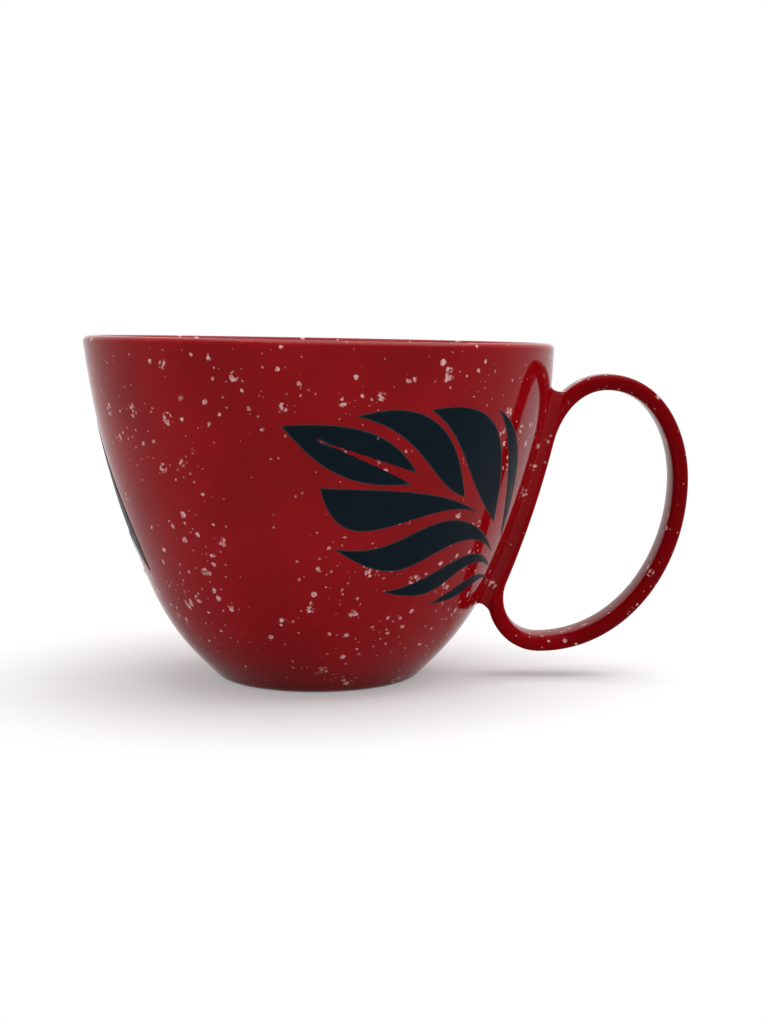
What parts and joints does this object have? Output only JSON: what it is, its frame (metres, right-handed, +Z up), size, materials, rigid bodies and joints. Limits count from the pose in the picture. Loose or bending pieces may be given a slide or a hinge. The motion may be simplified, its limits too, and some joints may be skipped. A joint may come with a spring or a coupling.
{
  "type": "handled cup",
  "caption": "Handmade glazed cup: a flaring thrown bowl with a closed upright strap loop luted to its side, and leaves of dark slip on the outside.",
  "frame": {"origin": "middle of the foot's resting ring, on the surface that the cup stands on", "axes": "+Z up along the bowl's axis, +X from the axis towards the handle"},
  "size_m": [0.1367, 0.1058, 0.0776],
  "materials": {
    "red_glaze": "glossy, with pale flecks",
    "dark_slip": "satin"
  },
  "bodies": {
    "root": {"bowl": "red_glaze", "handle_loop": "red_glaze", "luting_slip": "red_glaze", "front_leaf_end_lobe": "dark_slip", "front_leaf_upper_lobe_1": "dark_slip", "front_leaf_upper_lobe_2": "dark_slip", "front_leaf_upper_lobe_3": "dark_slip", "front_leaf_lower_lobe_1": "dark_slip", "front_leaf_lower_lobe_2": "dark_slip", "front_leaf_lower_lobe_3": "dark_slip", "front_leaf_lower_lobe_4": "dark_slip", "rear_leaf_end_lobe": "dark_slip", "rear_leaf_upper_lobe_1": "dark_slip", "rear_leaf_upper_lobe_2": "dark_slip", "rear_leaf_upper_lobe_3": "dark_slip", "rear_leaf_lower_lobe_1": "dark_slip", "rear_leaf_lower_lobe_2": "dark_slip", "rear_leaf_lower_lobe_3": "dark_slip", "rear_leaf_lower_lobe_4": "dark_slip", "palmette_crown_lobe": "dark_slip", "palmette_front_lobe_1": "dark_slip", "palmette_front_lobe_2": "dark_slip", "palmette_front_lobe_3": "dark_slip", "palmette_front_lobe_4": "dark_slip", "palmette_rear_lobe_1": "dark_slip", "palmette_rear_lobe_2": "dark_slip", "palmette_rear_lobe_3": "dark_slip", "palmette_rear_lobe_4": "dark_slip"}
  },
  "joints": []
}
